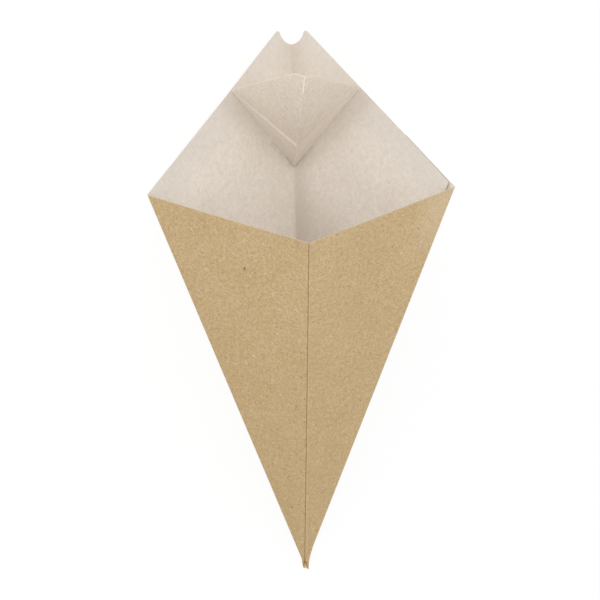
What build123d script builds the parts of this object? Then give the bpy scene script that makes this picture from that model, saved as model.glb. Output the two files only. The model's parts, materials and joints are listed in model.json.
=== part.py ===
"""Open cone of folded brown board with a dip pocket glued inside its mouth.

The cone is one folded sheet. Four equal panels meet at the tip, along a front, a back
and two side creases, and a glue flap runs round the right crease on the outside of the
back-right panel. The back panels rise to a corner with a thumb notch. The dip pocket is
a second piece of board: two glued tabs, a folded band and two faces that stand forward.
The cone is modelled standing on its tip, front towards -Y, and is then laid on its
back-left panel, as it comes to rest.
"""
from build123d import *
from collections import namedtuple
from math import asin, atan, atan2, cos, radians, sin, sqrt, tan
import os

# Driving sizes of the cone's blank, in millimetres and degrees
PANEL_ANGLE = 25.0      # of each panel, at the tip
SIDE_CREASE = 206.0     # from the tip to a mouth corner
GABLE_SLOPE = 45.0      # rise of the back panels' top edges from the mouth corners
BOARD = 0.4             # thickness of the cone's board
CREASE_RADIUS = 0.5     # outside rounding of a folded crease
NOTCH_RADIUS = 7.5
NOTCH_DEPTH = 15.0      # from the gable's sharp corner to the bottom of the notch
NOTCH_CORNER = 1.2      # rounding where the notch meets the gable edges
FLAP_ANGLE = 9.0        # width of the glue flap, at the tip
SEAM_ANGLE = 1.0        # the back-right panel stops this far short of the right crease

# How far the cone is opened: between its front and back panels, at a side crease
SIDE_DIHEDRAL = 72.6

# The pinched tip
NOSE_HEIGHT = 5.0       # from the tip, up to where the panels run straight
NOSE_PAST_TIP = 0.8     # that the pinched end reaches below the panels' common point
NOSE_WIDTH = 2.2        # across the pinched end
NOSE_RADIUS = 0.25      # of the pinched end's corners
SLIT_HEIGHT = 4.8       # of the split in the front crease
SLIT_WIDTH = 1.1        # of the split at the pinched end
HOLLOW_START = 1.0      # the hollow starts this far above the point of its own pyramid

# Driving sizes of the dip pocket
POCKET_BOARD = 0.4
POCKET_SIDE = 53.0      # fold line from the bottom to each corner
POCKET_FOLD = 45.0      # between that fold line and the back crease
POCKET_TOP_SLOPE = 50.0  # of the face's top edges in the flat
POCKET_TOP_RADIUS = 10.0
BAND_HEIGHT = 22.5      # of the folded band at the centre
BELLY = 2.5             # that the bend below the faces stands forward
TAB_HEIGHT = 20.0       # of the glued tabs at the centre

MARGIN = 2.0            # cutters run past what they cut by this much
CUT_REACH = 8.0         # cutters that go through a sheet reach this far on each side of it

# Half angles between opposite creases, as the cone stands open
SPREAD = atan(tan(radians(PANEL_ANGLE)) * cos(radians(SIDE_DIHEDRAL / 2)))
LEAN = asin(sin(radians(PANEL_ANGLE)) * sin(radians(SIDE_DIHEDRAL / 2)))

MOUTH_LEVEL = SIDE_CREASE * cos(radians(PANEL_ANGLE))
HALF_MOUTH = SIDE_CREASE * sin(radians(PANEL_ANGLE))
GABLE_TOP = MOUTH_LEVEL + HALF_MOUTH * tan(radians(GABLE_SLOPE))
TOP_LEVEL = GABLE_TOP + MARGIN
FAR = 2 * TOP_LEVEL     # out of the cone's reach on every side

Panel = namedtuple("Panel", "side back across up out")


def make_panel(side, back):
    """Directions of one panel: side is -1 left or 1 right, back is 1 back or -1 front."""
    up = Vector(0, back * sin(LEAN), cos(LEAN))
    side_crease = Vector(side * sin(SPREAD), 0, cos(SPREAD))
    across = (side_crease - up * side_crease.dot(up)).normalized()
    out = across.cross(up).normalized() * (-side * back)
    return Panel(side, back, across, up, out)


FRONT_LEFT, FRONT_RIGHT = make_panel(-1, -1), make_panel(1, -1)
BACK_LEFT, BACK_RIGHT = make_panel(-1, 1), make_panel(1, 1)

LEFT_CREASE = Vector(-sin(SPREAD), 0, cos(SPREAD))
RIGHT_CREASE = Vector(sin(SPREAD), 0, cos(SPREAD))

# Moving a panel inwards by one board moves the pyramid's point up the axis by this much
HOLLOW_POINT = BOARD / abs(BACK_LEFT.out.Z)


def on_panel(panel, w, h, out=0.0):
    """A point of the blank, w from the centre crease and h along it, on its panel."""
    return panel.across * w + panel.up * h + panel.out * out


def polar(angle, radius):
    """Distances w and h of a point on a line through the tip, angle from the crease."""
    return radius * sin(radians(angle)), radius * cos(radians(angle))


def outline(*points):
    """A flat face with straight edges through points in space."""
    return make_face(Polyline(*points, close=True))


def keep_behind(solid, point, direction):
    """The part of a solid that lies behind a plane through point."""
    return split(solid, bisect_by=Plane(point, z_dir=direction), keep=Keep.BOTTOM)


def rhombus(level, size_level, shift=(0.0, 0.0)):
    """Corners of the pyramid's section at size_level, drawn at another level."""
    half_x, half_y = size_level * tan(SPREAD), size_level * tan(LEAN)
    corners = [(half_x, 0), (0, half_y), (-half_x, 0), (0, -half_y)]
    return [Vector(x + shift[0], y + shift[1], level) for x, y in corners]


def tapered(lower, upper):
    """The solid between two rhombi, with four flat sides."""
    height = upper[0].Z - lower[0].Z
    body = Pos(0, 0, lower[0].Z + height / 2) * Box(2 * FAR, 2 * FAR, height)
    for this, after in ((0, 1), (1, 2), (2, 3), (3, 0)):
        outward = (lower[after] - lower[this]).cross(upper[this] - lower[this])
        body = keep_behind(body, lower[this], outward)
    return body


def pyramid(point_level, bottom, top):
    """The four panels' pyramid with its point at point_level, between two levels."""
    return tapered(rhombus(bottom, bottom - point_level), rhombus(top, top - point_level))


def round_crease(solid, start, direction):
    """Round the crease of a solid that runs from start in direction."""
    unit = direction.normalized()

    def off_line(edge):
        reach = edge.center() - start
        return (reach - unit * reach.dot(unit)).length

    return fillet(solid.edges().sort_by(off_line)[0], CREASE_RADIUS)


def back_waste(panel):
    """What is cut off above a back panel's gable edge, with half of the thumb notch."""
    slope = tan(radians(GABLE_SLOPE))
    notch_bottom = GABLE_TOP - NOTCH_DEPTH
    notch_centre = notch_bottom + NOTCH_RADIUS
    rise = GABLE_TOP - notch_centre
    half = (rise * slope + sqrt(NOTCH_RADIUS**2 * (1 + slope**2) - rise**2)) / (1 + slope**2)
    corner = on_panel(panel, half, GABLE_TOP - half * slope)
    middle = atan2(half, half * slope - rise) / 2
    bottom = on_panel(panel, 0, notch_bottom)
    arc_middle = on_panel(panel, NOTCH_RADIUS * sin(middle), notch_centre - NOTCH_RADIUS * cos(middle))
    low = on_panel(panel, FAR, GABLE_TOP - FAR * slope)
    high = on_panel(panel, FAR, FAR)
    over = on_panel(panel, -MARGIN, FAR)
    under = on_panel(panel, -MARGIN, notch_bottom)
    edges = [ThreePointArc(bottom, arc_middle, corner), Polyline(corner, low, high, over, under, bottom)]
    face = make_face(edges)
    face = fillet(face.vertices().sort_by_distance(corner)[0], NOTCH_CORNER)
    return extrude(face, amount=CUT_REACH, dir=panel.out, both=True)


def front_waste(panel):
    """What is cut off above a front panel's top edge, square to the front crease."""
    corners = [(-MARGIN, MOUTH_LEVEL), (FAR, MOUTH_LEVEL), (FAR, FAR), (-MARGIN, FAR)]
    face = outline(*[on_panel(panel, w, h) for w, h in corners])
    return extrude(face, amount=CUT_REACH, dir=panel.out, both=True)


def quarter_space(panel):
    """The quarter of space that holds one panel."""
    return Pos(panel.side * FAR / 2, panel.back * FAR / 2, 0) * Box(FAR, FAR, 2 * FAR)


def nose():
    """The pinched end, flush with the back-left panel's face."""
    end_level = NOSE_WIDTH / 2 / tan(SPREAD)
    flat_out = Vector(BACK_LEFT.out.X, BACK_LEFT.out.Y, 0)
    push = abs(BACK_LEFT.out.Z) * (end_level + NOSE_PAST_TIP) / flat_out.length
    move = flat_out.normalized() * -push
    body = tapered(rhombus(-NOSE_PAST_TIP, end_level, (move.X, move.Y)), rhombus(NOSE_HEIGHT, NOSE_HEIGHT))
    slanted = body.edges().filter_by(lambda edge: edge.bounding_box().size.Z > NOSE_HEIGHT / 2)
    body = fillet(slanted, NOSE_RADIUS)
    slit_top = SLIT_HEIGHT - NOSE_PAST_TIP
    slit_end = -NOSE_PAST_TIP - MARGIN
    half_slit = SLIT_WIDTH / 2 * (SLIT_HEIGHT + MARGIN) / SLIT_HEIGHT
    top_x = move.X * (NOSE_HEIGHT - slit_top) / (NOSE_HEIGHT + NOSE_PAST_TIP)
    corners = [(move.X - half_slit, slit_end), (move.X + half_slit, slit_end), (top_x, slit_top)]
    face = outline(*[Vector(x, move.Y, z) for x, z in corners])
    return body - extrude(face, amount=CUT_REACH, dir=(0, -1, 0))


def glue_flap():
    """The flap outside the back-right panel, cut to meet the front-right panel's face."""
    free = PANEL_ANGLE - FLAP_ANGLE
    past = MARGIN / sin(radians(PANEL_ANGLE))
    start = NOSE_HEIGHT / cos(LEAN)
    corners = [polar(free, start), polar(free, FAR), polar(PANEL_ANGLE, FAR), polar(PANEL_ANGLE, start)]
    corners[2] = (corners[2][0] + past, corners[2][1])
    corners[3] = (corners[3][0] + past, corners[3][1])
    face = outline(*[on_panel(BACK_RIGHT, w, h) for w, h in corners])
    flap = extrude(face, amount=BOARD, dir=BACK_RIGHT.out)
    flap = keep_behind(flap, Vector(0, 0, 0), FRONT_RIGHT.out)
    return keep_behind(flap, Vector(0, 0, NOSE_HEIGHT), Vector(0, 0, -1))


def right_corner():
    """Space behind the front-right face and the flap's face, rounded where they meet."""
    outer = BACK_RIGHT.out * BOARD
    space = keep_behind(Box(2 * FAR, 2 * FAR, 2 * FAR), Vector(0, 0, 0), FRONT_RIGHT.out)
    space = keep_behind(space, outer, BACK_RIGHT.out)
    along = FRONT_RIGHT.out.cross(RIGHT_CREASE)
    return round_crease(space, along * (BOARD / along.dot(BACK_RIGHT.out)), RIGHT_CREASE)


def seam_gap():
    """The strip that the back-right panel lacks beside the right crease."""
    corners = [polar(PANEL_ANGLE - SEAM_ANGLE, FAR), polar(PANEL_ANGLE + SEAM_ANGLE, FAR)]
    face = outline(Vector(0, 0, 0), *[on_panel(BACK_RIGHT, w, h) for w, h in corners])
    strip = extrude(face, amount=BOARD + MARGIN, dir=BACK_RIGHT.out * -1)
    strip = keep_behind(strip, FRONT_RIGHT.out * -BOARD, FRONT_RIGHT.out)
    return keep_behind(strip, Vector(0, 0, NOSE_HEIGHT), Vector(0, 0, -1))


def hollow():
    """The space inside the four panels, open at the top."""
    return pyramid(HOLLOW_POINT, HOLLOW_POINT + HOLLOW_START, TOP_LEVEL)


def make_cone():
    tip = Vector(0, 0, 0)
    body = pyramid(0, NOSE_HEIGHT, TOP_LEVEL)
    for crease in (BACK_LEFT.up, FRONT_LEFT.up, LEFT_CREASE):
        body = round_crease(body, tip, crease)
    wall = body - hollow()
    quarters = []
    for panel in (FRONT_LEFT, FRONT_RIGHT, BACK_LEFT, BACK_RIGHT):
        quarter = wall & quarter_space(panel)
        if panel is BACK_RIGHT:
            quarter = quarter - seam_gap() + glue_flap()
        waste = back_waste(panel) if panel.back > 0 else front_waste(panel)
        quarters.append(quarter - waste)
    sheet = quarters[0] + quarters[1:]
    return (sheet & right_corner()) + (nose() - hollow())


def in_hollow(panel, w, h):
    """A point on a back panel's inner face, measured from the hollow's own point."""
    return Vector(0, 0, HOLLOW_POINT) + panel.across * w + panel.up * h


def pocket_face(bend, top, corner):
    """One face of the pocket: straight edges, and an arc over the centre line at the top."""
    rise = (top - bend).normalized()
    sideways = corner - bend
    sideways = (sideways - rise * sideways.dot(rise)).normalized()
    hub = top - rise * POCKET_TOP_RADIUS
    to_corner = corner - hub
    span = sqrt(to_corner.length**2 - POCKET_TOP_RADIUS**2)
    turn = atan2(to_corner.dot(sideways), to_corner.dot(rise))
    touch = turn - atan(span / POCKET_TOP_RADIUS)

    def on_arc(angle):
        return hub + (rise * cos(angle) + sideways * sin(angle)) * POCKET_TOP_RADIUS

    return make_face([Line(bend, corner), Line(corner, on_arc(touch)),
                      ThreePointArc(on_arc(touch), on_arc(touch / 2), top), Line(top, bend)])


def thicken(flat, towards):
    """The pocket's board on the side of a flat face that looks in a direction."""
    normal = flat.face().normal_at()
    if normal.dot(towards) < 0:
        normal = normal * -1
    return extrude(flat, amount=POCKET_BOARD, dir=normal)


def make_pocket():
    panel = BACK_LEFT
    slope = tan(radians(GABLE_SLOPE))
    inner_gable = GABLE_TOP - HOLLOW_POINT * (panel.up.Z + panel.across.Z * slope)
    reach = POCKET_SIDE * sin(radians(POCKET_FOLD))
    corner_h = inner_gable - reach * slope
    bottom_h = corner_h - POCKET_SIDE * cos(radians(POCKET_FOLD))
    corner = in_hollow(panel, reach, corner_h)
    bottom = in_hollow(panel, 0, bottom_h)

    # The centre line is the back crease mirrored in the plane of the two fold lines
    far_corner = Vector(-corner.X, corner.Y, corner.Z)
    mirror = (corner - bottom).cross(far_corner - bottom).normalized()
    centre = panel.up - mirror * (2 * panel.up.dot(mirror))
    forward = Vector(1, 0, 0).cross(centre).normalized()
    if forward.Y > 0:
        forward = forward * -1
    bend = bottom + centre * BAND_HEIGHT + forward * BELLY

    # In the flat, the top edges rise from the corners and an arc joins them
    flat_rise = POCKET_SIDE * cos(radians(POCKET_FOLD)) + reach * tan(radians(POCKET_TOP_SLOPE))
    half_top = radians(90 - POCKET_TOP_SLOPE)
    top = bottom + centre * (flat_rise - POCKET_TOP_RADIUS / sin(half_top) + POCKET_TOP_RADIUS)

    backwards = Vector(0, 1, 0)
    half = thicken(pocket_face(bend, top, corner), backwards)
    half = half + thicken(outline(bottom, bend, corner), backwards)
    tab = outline(bottom, corner, in_hollow(panel, 0, bottom_h + TAB_HEIGHT))
    half = half + thicken(tab, panel.out * -1)
    half = half & (Pos(-FAR / 2, 0, 0) * Box(FAR, FAR, 2 * FAR))
    return (half + half.mirror(Plane.YZ)) & hollow()


def lay_down(nodes):
    """Turn the nodes onto the back-left panel, tip towards -Y, origin under the box's middle."""
    up = BACK_LEFT.out * -1
    axis = Vector(0, 0, 1)
    along = (axis - up * axis.dot(up)).normalized()
    floor = Plane(Vector(0, 0, 0), x_dir=along.cross(up), z_dir=up)
    lying = {name: floor.to_local_coords(solid) for name, solid in nodes.items()}
    boxes = [solid.bounding_box() for solid in lying.values()]
    middle_x = (min(box.min.X for box in boxes) + max(box.max.X for box in boxes)) / 2
    middle_y = (min(box.min.Y for box in boxes) + max(box.max.Y for box in boxes)) / 2
    return {name: Pos(-middle_x, -middle_y, 0) * solid for name, solid in lying.items()}


def main():
    os.makedirs("parts", exist_ok=True)
    nodes = lay_down({"paper_cone": make_cone(), "dip_pocket": make_pocket()})
    for name, solid in nodes.items():
        export_step(solid, f"parts/{name}.step")
    return nodes


main()
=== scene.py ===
"""Looks of a folded board cone with a dip pocket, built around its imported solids.

The cone is made as it is in the factory. A flat blank with its real outline is drawn, and
a Geometry Nodes tree bends it along its four creases, pinches the tip and lays the cone on
its back-left panel. The pocket is a second sheet, folded directly from its corner points.
Sizes are in millimetres and match the solids. The finished meshes are in metres.
"""

import json
from math import asin, atan, atan2, cos, pi, radians, sin, sqrt, tan

import bpy
import numpy as np
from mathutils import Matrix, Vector


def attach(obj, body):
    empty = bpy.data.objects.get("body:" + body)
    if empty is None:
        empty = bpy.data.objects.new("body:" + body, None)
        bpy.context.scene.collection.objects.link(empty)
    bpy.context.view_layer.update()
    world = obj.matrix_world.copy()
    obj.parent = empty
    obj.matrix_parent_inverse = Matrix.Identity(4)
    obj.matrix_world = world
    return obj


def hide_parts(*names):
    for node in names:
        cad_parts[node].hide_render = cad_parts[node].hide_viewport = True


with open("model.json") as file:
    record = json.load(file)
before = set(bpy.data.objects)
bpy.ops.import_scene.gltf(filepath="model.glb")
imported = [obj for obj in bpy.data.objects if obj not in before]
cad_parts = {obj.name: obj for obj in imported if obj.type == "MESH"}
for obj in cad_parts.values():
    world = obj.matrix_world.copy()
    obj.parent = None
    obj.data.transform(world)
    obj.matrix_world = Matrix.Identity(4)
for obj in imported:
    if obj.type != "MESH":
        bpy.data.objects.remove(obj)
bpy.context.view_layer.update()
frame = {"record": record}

MM = 0.001

# The blank, as cut and creased. The panels, the flap and the seam are angles at the tip, and
# the dihedral is the one that two panels make at a side crease
PANEL_ANGLE = radians(25.0)
SIDE_CREASE = 206.0
BOARD = 0.4
CREASE_RADIUS = 0.5
NOTCH_RADIUS = 7.5
NOTCH_DEPTH = 15.0
NOTCH_CORNER = 1.2
FLAP_ANGLE = radians(9.0)
SEAM_ANGLE = radians(1.0)
SIDE_DIHEDRAL = radians(72.6)
GLUE_LINE = 0.03
PANELS = ("back_right", "back_left", "front_left", "front_right", "flap")

# The flap's lower end: degrees past the right crease, and distances from the tip
FLAP_FOOT_DEGREES = 0, 0.6, 9
FLAP_FOOT_RADII = 5.4, 8.0, 14.0
FLAP_FOOT_TOP = 16.0

# How the blank is divided, first in degrees beside a crease, beside the notch's middle and from
# the back crease towards the seam, then in points along the gable's edge and rows at the tip
BESIDE_CREASE = 0, 0.02, 0.05, 0.09, 0.14, 0.2, 0.28, 0.4, 0.6, 0.9, 1.4, 2.2, 3.4, 5.2, 7.4, 9.9, 12.5
BESIDE_NOTCH = np.arange(1.4, 3, 0.1)
TOWARDS_SEAM = 15, 17.5, 20, 22
NOTCH_POINTS = 22
NOTCH_CORNER_POINTS = 12
STRAIGHT_POINTS = 60
SLIT_ROWS = 8
NOSE_ROWS = 4

# The pinched tip. For each millimetre below the nose's top a place is splayed sideways and
# pinched from front to back, by these shares of its distance from the middle
NOSE_HEIGHT = 5.0
NOSE_PAST_TIP = 0.8
NOSE_WIDTH = 2.2
NOSE_SPLAY = 0.19
NOSE_PINCH = 0.2
SLIT_TOP = 4.0
SLIT_OPENING = 0.62

# The tip's ragged end: how much higher it is torn, and in which share at places round the
# blank, counted in panels from the front crease
TORN_HIGHER = 0.2
TORN_PLACES = -3, -2, -1, 0, 0.5, 1, 1.4
TORN_SHARES = 0.1, 0.25, 0.75, 0.4, 0.0, 0.1, 0.1

# The line scored along the front crease
SCORE_DEPTH = 0.09
SCORE_WIDTH = 0.28

# The dip pocket. Its top leans to the right, and its right face is trimmed lower. The trim
# grows between two shares of the way from the middle to the corner
POCKET_SIDE = 53.0
POCKET_FOLD = radians(45.0)
POCKET_TOP_SLOPE = radians(50.0)
POCKET_TOP_RADIUS = 10.0
BAND_HEIGHT = 22.5
BELLY = 2.5
TAB_HEIGHT = 20.0
TOP_LEANS = 1.7
RIGHT_TRIM = 2.4
TRIM_GROWS = 0.0, 0.12
POCKET_FOLD_RADIUS = 0.2
POCKET_BEND_RADIUS = 0.8

# Where the pocket is divided, in shares of the way from its middle to a corner
POCKET_SHARES = [0, 0.006, 0.015, 0.03, *np.linspace(0.05, 0.93, 34), 0.95, 0.965, 0.978, 0.988]

# Points along each part of the pocket's section, and the rows in the middle of its two folds
TAB_POINTS, FOLD_POINTS, BAND_POINTS, BEND_POINTS, FACE_POINTS = 5, 7, 6, 9, 16
FOLD_ROW = TAB_POINTS - 1 + FOLD_POINTS // 2
BEND_ROW = TAB_POINTS + FOLD_POINTS + BAND_POINTS - 3 + BEND_POINTS // 2

# Half angles between opposite creases of the open cone, and distances from its tip
SPREAD = atan(tan(PANEL_ANGLE) * cos(SIDE_DIHEDRAL / 2))
LEAN = asin(sin(PANEL_ANGLE) * sin(SIDE_DIHEDRAL / 2))
MOUTH_LEVEL = SIDE_CREASE * cos(PANEL_ANGLE)
GABLE_TOP = SIDE_CREASE * (cos(PANEL_ANGLE) + sin(PANEL_ANGLE))
NOSE_END_LEVEL = NOSE_WIDTH / 2 / tan(SPREAD)

# How far each panel bows outwards between its creases, at the level of the gable
BOWS = {"back_right": 0.35, "back_left": -0.9, "front_left": 0.45, "front_right": 0.4}
BOW_LEVEL = 250.0

# The faint ripple over each panel, which fades out near the tip
RIPPLE_HEIGHT = 0.10
RIPPLE_LENGTH = 23.0
RIPPLE_SHIFT = 2.1
RIPPLE_LEVEL = 80.0

# At the mouth the flap and the back-right panel's cut edge part a little. Each gap grows
# between two distances from the tip, and between two shares of the panel's width. The flap's
# upper edge is also set back
FLAP_GAP = 0.25
FLAP_GAP_GROWS = 165.0, 205.0
FLAP_GAP_SHARES = 1.0, 0.875
SEAM_GAP = 0.65
SEAM_GAP_GROWS = 150.0, 200.0
SEAM_GAP_SHARES = 0.80, 0.96
FLAP_SET_BACK = 0.22

# Floor, light and camera: places in metres, turns in degrees and the lens in millimetres. The
# floor gives way to plain white, in a share that grows to 1 between two distances from the cone
FLOOR_RADIUS = 4.0
FLOOR_LEVEL = -0.0002
FLOOR_SHADE = 0.96
FLOOR_WHITE = 0.86
FLOOR_WHITENS = 0.3, 1.2
WORLD_LIGHT = 0.95
KEY_PLACE = (-0.18, 0.36, 0.45)
KEY_SIZE = 0.45
KEY_POWER = 0.95
CONE_MIDDLE = Vector((0.0, 0.02, 0.03))
CAMERA_PLACE = (-0.590808, 0.143331, 0.820555)
CAMERA_TURNS = (-1.93518, -37.35044, -9.98728)
CAMERA_LENS = 125.401


def smooth_rise(value, low, high):
    """Rises smoothly from 0 where value is low to 1 where it is high."""
    share = np.clip((value - low) / (high - low), 0, 1)
    return share * share * (3 - 2 * share)


def unit(vector):
    vector = np.asarray(vector, float)
    return vector / np.linalg.norm(vector)


def panel_frame(side, back):
    """A panel's directions: away from its centre crease, up along it, and outwards."""
    up = np.array([0, back * sin(LEAN), cos(LEAN)])
    crease = np.array([side * sin(SPREAD), 0, cos(SPREAD)])
    across = unit(crease - up * crease.dot(up))
    out = unit(np.cross(across, up)) * (-side * back)
    return across, up, out


# Each panel's directions, how far the sheet turns at the creases, and the hollow's lowest point
FRONT_LEFT, FRONT_RIGHT = panel_frame(-1, -1), panel_frame(1, -1)
BACK_LEFT, BACK_RIGHT = panel_frame(-1, 1), panel_frame(1, 1)
FRONT_TURN = np.arccos(FRONT_LEFT[2].dot(FRONT_RIGHT[2]))
SIDE_TURN = pi - SIDE_DIHEDRAL
HOLLOW_LEVEL = BOARD / abs(BACK_LEFT[2][2])
HOLLOW_POINT = np.array([0.0, 0.0, HOLLOW_LEVEL])


def lying_frame():
    """Rows that turn the standing cone onto its back-left panel, and the shift in millimetres."""
    up = -BACK_LEFT[2]
    along = unit(np.array([0, 0, 1]) - up * up[2])
    rows = np.array([np.cross(along, up), along, up])
    left = SIDE_CREASE * np.array([-sin(SPREAD), 0, cos(SPREAD)])
    middle = rows @ ((left + GABLE_TOP * BACK_LEFT[1]) / 3)
    mount = np.array(frame["record"]["mounts"][0]["pos_m"]) / MM
    return rows, mount - middle


LYING, SHIFT = lying_frame()


def lay_down(points):
    """Points of the standing cone, in millimetres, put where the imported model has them."""
    return (np.asarray(points) @ LYING.T + SHIFT) * MM


# Node trees

class Socket:
    """An output in a node tree. Arithmetic on it adds Math or Vector Math nodes."""

    def __init__(self, graph, socket):
        self.graph, self.socket = graph, socket

    def __add__(self, other):
        return self.graph.maths("ADD", self, other)

    def __radd__(self, other):
        return self.graph.maths("ADD", other, self)

    def __sub__(self, other):
        return self.graph.maths("SUBTRACT", self, other)

    def __rsub__(self, other):
        return self.graph.maths("SUBTRACT", other, self)

    def __mul__(self, other):
        return self.graph.maths("MULTIPLY", self, other)

    def __rmul__(self, other):
        return self.graph.maths("MULTIPLY", other, self)

    def __truediv__(self, other):
        return self.graph.maths("DIVIDE", self, other)

    def __rtruediv__(self, other):
        return self.graph.maths("DIVIDE", other, self)

    def __neg__(self):
        return self.graph.maths("MULTIPLY", self, -1.0)


def is_vector(item):
    return item.socket.type == "VECTOR" if isinstance(item, Socket) else np.ndim(item) > 0


class Graph:
    """A node tree that is being built."""

    def __init__(self, tree):
        self.tree = tree
        tree.nodes.clear()

    def node(self, kind, settings=None, inputs=None, output=0):
        """Adds a node: its settings first, then the values or links of its sockets."""
        node = self.tree.nodes.new(kind)
        for name, value in (settings or {}).items():
            setattr(node, name, value)
        for name, value in (inputs or {}).items():
            if isinstance(value, Socket):
                self.tree.links.new(value.socket, node.inputs[name])
            else:
                node.inputs[name].default_value = value
        if output == "all":
            return [Socket(self, socket) for socket in node.outputs]
        return Socket(self, node.outputs[output])

    def maths(self, operation, *terms):
        """One Math node, or one Vector Math node where a term is a vector."""
        vectors = [is_vector(term) for term in terms]
        inputs = dict(enumerate(terms))
        if not any(vectors):
            return self.node("ShaderNodeMath", {"operation": operation}, inputs)
        if operation == "MULTIPLY" and not all(vectors):
            vector, number = terms if vectors[0] else terms[::-1]
            return self.node("ShaderNodeVectorMath", {"operation": "SCALE"}, {0: vector, "Scale": number})
        return self.node("ShaderNodeVectorMath", {"operation": operation}, inputs)

    def dot(self, one, other):
        settings = {"operation": "DOT_PRODUCT"}
        return self.node("ShaderNodeVectorMath", settings, {0: one, 1: other}, "Value")

    def length(self, vector):
        return self.node("ShaderNodeVectorMath", {"operation": "LENGTH"}, {0: vector}, "Value")

    def separate(self, vector):
        return self.node("ShaderNodeSeparateXYZ", None, {0: vector}, "all")

    def combine(self, x, y, z):
        return self.node("ShaderNodeCombineXYZ", None, {0: x, 1: y, 2: z})

    def clamp(self, value, low, high):
        return self.node("ShaderNodeClamp", None, {"Value": value, "Min": low, "Max": high})

    def step(self, value, low, high):
        """Rises smoothly from 0 where value is low to 1 where it is high."""
        settings = {"interpolation_type": "SMOOTHSTEP"}
        inputs = {"Value": value, "From Min": low, "From Max": high}
        if low > high:
            inputs.update({"From Min": high, "From Max": low, "To Min": 1.0, "To Max": 0.0})
        return self.node("ShaderNodeMapRange", settings, inputs)

    def absolute(self, value):
        return self.maths("ABSOLUTE", value)


# The fold, as Geometry Nodes

def bend(graph, place, past, crease, across, foot, turn, radius):
    """Bends the part of a sheet that lies past a crease away from its upper face.

    past is how far a point of the blank lies beyond the crease. The sheet is slid back by
    the length that the bend takes up, and turned round the bend's axis.
    """
    tangent = radius * graph.maths("TANGENT", turn / 2.0)
    taken = graph.clamp(past + tangent, 0.0, 2.0 * tangent)
    centre = foot - across * tangent - graph.combine(0.0, 0.0, radius)
    inputs = {"Vector": place - across * taken, "Center": centre, "Axis": crease,
              "Angle": turn * taken / (2.0 * tangent)}
    return graph.node("ShaderNodeVectorRotate", {"rotation_type": "AXIS_ANGLE"}, inputs)


def crease_lines(graph, angle, hand):
    """Direction of a crease and the direction away from it, hand 1 to the right or -1 left."""
    sine, cosine = graph.maths("SINE", angle), graph.maths("COSINE", angle)
    return graph.combine(sine * hand, cosine * hand, 0.0), graph.combine(cosine * hand, sine * -hand, 0.0)


def folding_tree(name, sizes, finishes):
    """The tree that folds the flat blank into the lying cone."""
    tree = bpy.data.node_groups.new(name, "GeometryNodeTree")
    graph = Graph(tree)
    tree.interface.new_socket("Geometry", in_out="INPUT", socket_type="NodeSocketGeometry")
    identifiers = {}
    for label in sizes:
        item = tree.interface.new_socket(label, in_out="INPUT", socket_type="NodeSocketFloat")
        identifiers[label] = item.identifier
    tree.interface.new_socket("Geometry", in_out="OUTPUT", socket_type="NodeSocketGeometry")
    sockets = graph.node("NodeGroupInput", None, None, "all")
    geometry, named = sockets[0], dict(zip(sizes, sockets[1:]))
    panel, radius = named["Panel angle"], named["Crease radius"]

    flat = graph.node("GeometryNodeInputPosition")
    blank = flat * (1.0, 1.0, 0.0)
    place = flat

    # The flap turns a board's thickness outside the right crease, then follows its panel
    line, across = crease_lines(graph, panel, 1.0)
    foot = across * (named["Flap offset"] / graph.maths("SINE", named["Side turn"]))
    past = graph.dot(blank - foot, across)
    place = bend(graph, place, past, line, across, foot, named["Side turn"], radius)

    # Front crease, then the back crease and the left crease, outermost first
    origin = graph.combine(0.0, 0.0, 0.0)
    folds = [(0.0, 1.0, "Front turn"), (-2.0, -1.0, "Front turn"), (-1.0, -1.0, "Side turn")]
    for panels, hand, turn in folds:
        line, across = crease_lines(graph, panel * panels, hand)
        past = graph.dot(blank, across)
        place = bend(graph, place, past, line, across, origin, named[turn], radius)

    # Stand the cone on its tip, pinch the tip, then lay the cone down
    across, up, out = FRONT_LEFT
    standing = np.array([-across, up, out]).T
    place = graph.combine(*[graph.dot(place, tuple(row)) for row in standing])
    height = graph.separate(place)[2]
    below = graph.maths("MAXIMUM", NOSE_HEIGHT - height, 0.0)
    squeeze = place * graph.combine(below * NOSE_SPLAY, below * -NOSE_PINCH, 0.0)
    place = place + squeeze + graph.combine(*[float(push) for push in nose_push()]) * below
    place = graph.combine(*[graph.dot(place, tuple(row)) for row in LYING])
    place = (place + tuple(SHIFT)) * MM

    geometry = graph.node("GeometryNodeSetPosition", None, {"Geometry": geometry, "Position": place})
    geometry = graph.node("GeometryNodeRealizeInstances", None, {"Geometry": geometry})
    skin = graph.node("GeometryNodeInputNamedAttribute", {"data_type": "INT"}, {"Name": "skin"})
    for number, finish in enumerate(finishes):
        chosen = graph.node("FunctionNodeCompare", {"data_type": "INT", "operation": "EQUAL"},
                            {2: skin, 3: number})
        inputs = {"Geometry": geometry, "Selection": chosen, "Material": finish}
        geometry = graph.node("GeometryNodeSetMaterial", None, inputs)
    graph.node("NodeGroupOutput", None, {"Geometry": geometry}, "all")
    return tree, identifiers


def nose_push():
    """Shift of the sheet, for each millimetre that it lies below the nose's top."""
    out = BACK_LEFT[2]
    level_out = np.array([out[0], out[1], 0.0])
    drop = NOSE_END_LEVEL + NOSE_PAST_TIP
    end = unit(level_out) * -(abs(out[2]) * drop / np.linalg.norm(level_out))
    end[2] = -drop
    return end / (NOSE_HEIGHT - NOSE_END_LEVEL)


# The flat blank

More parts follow.
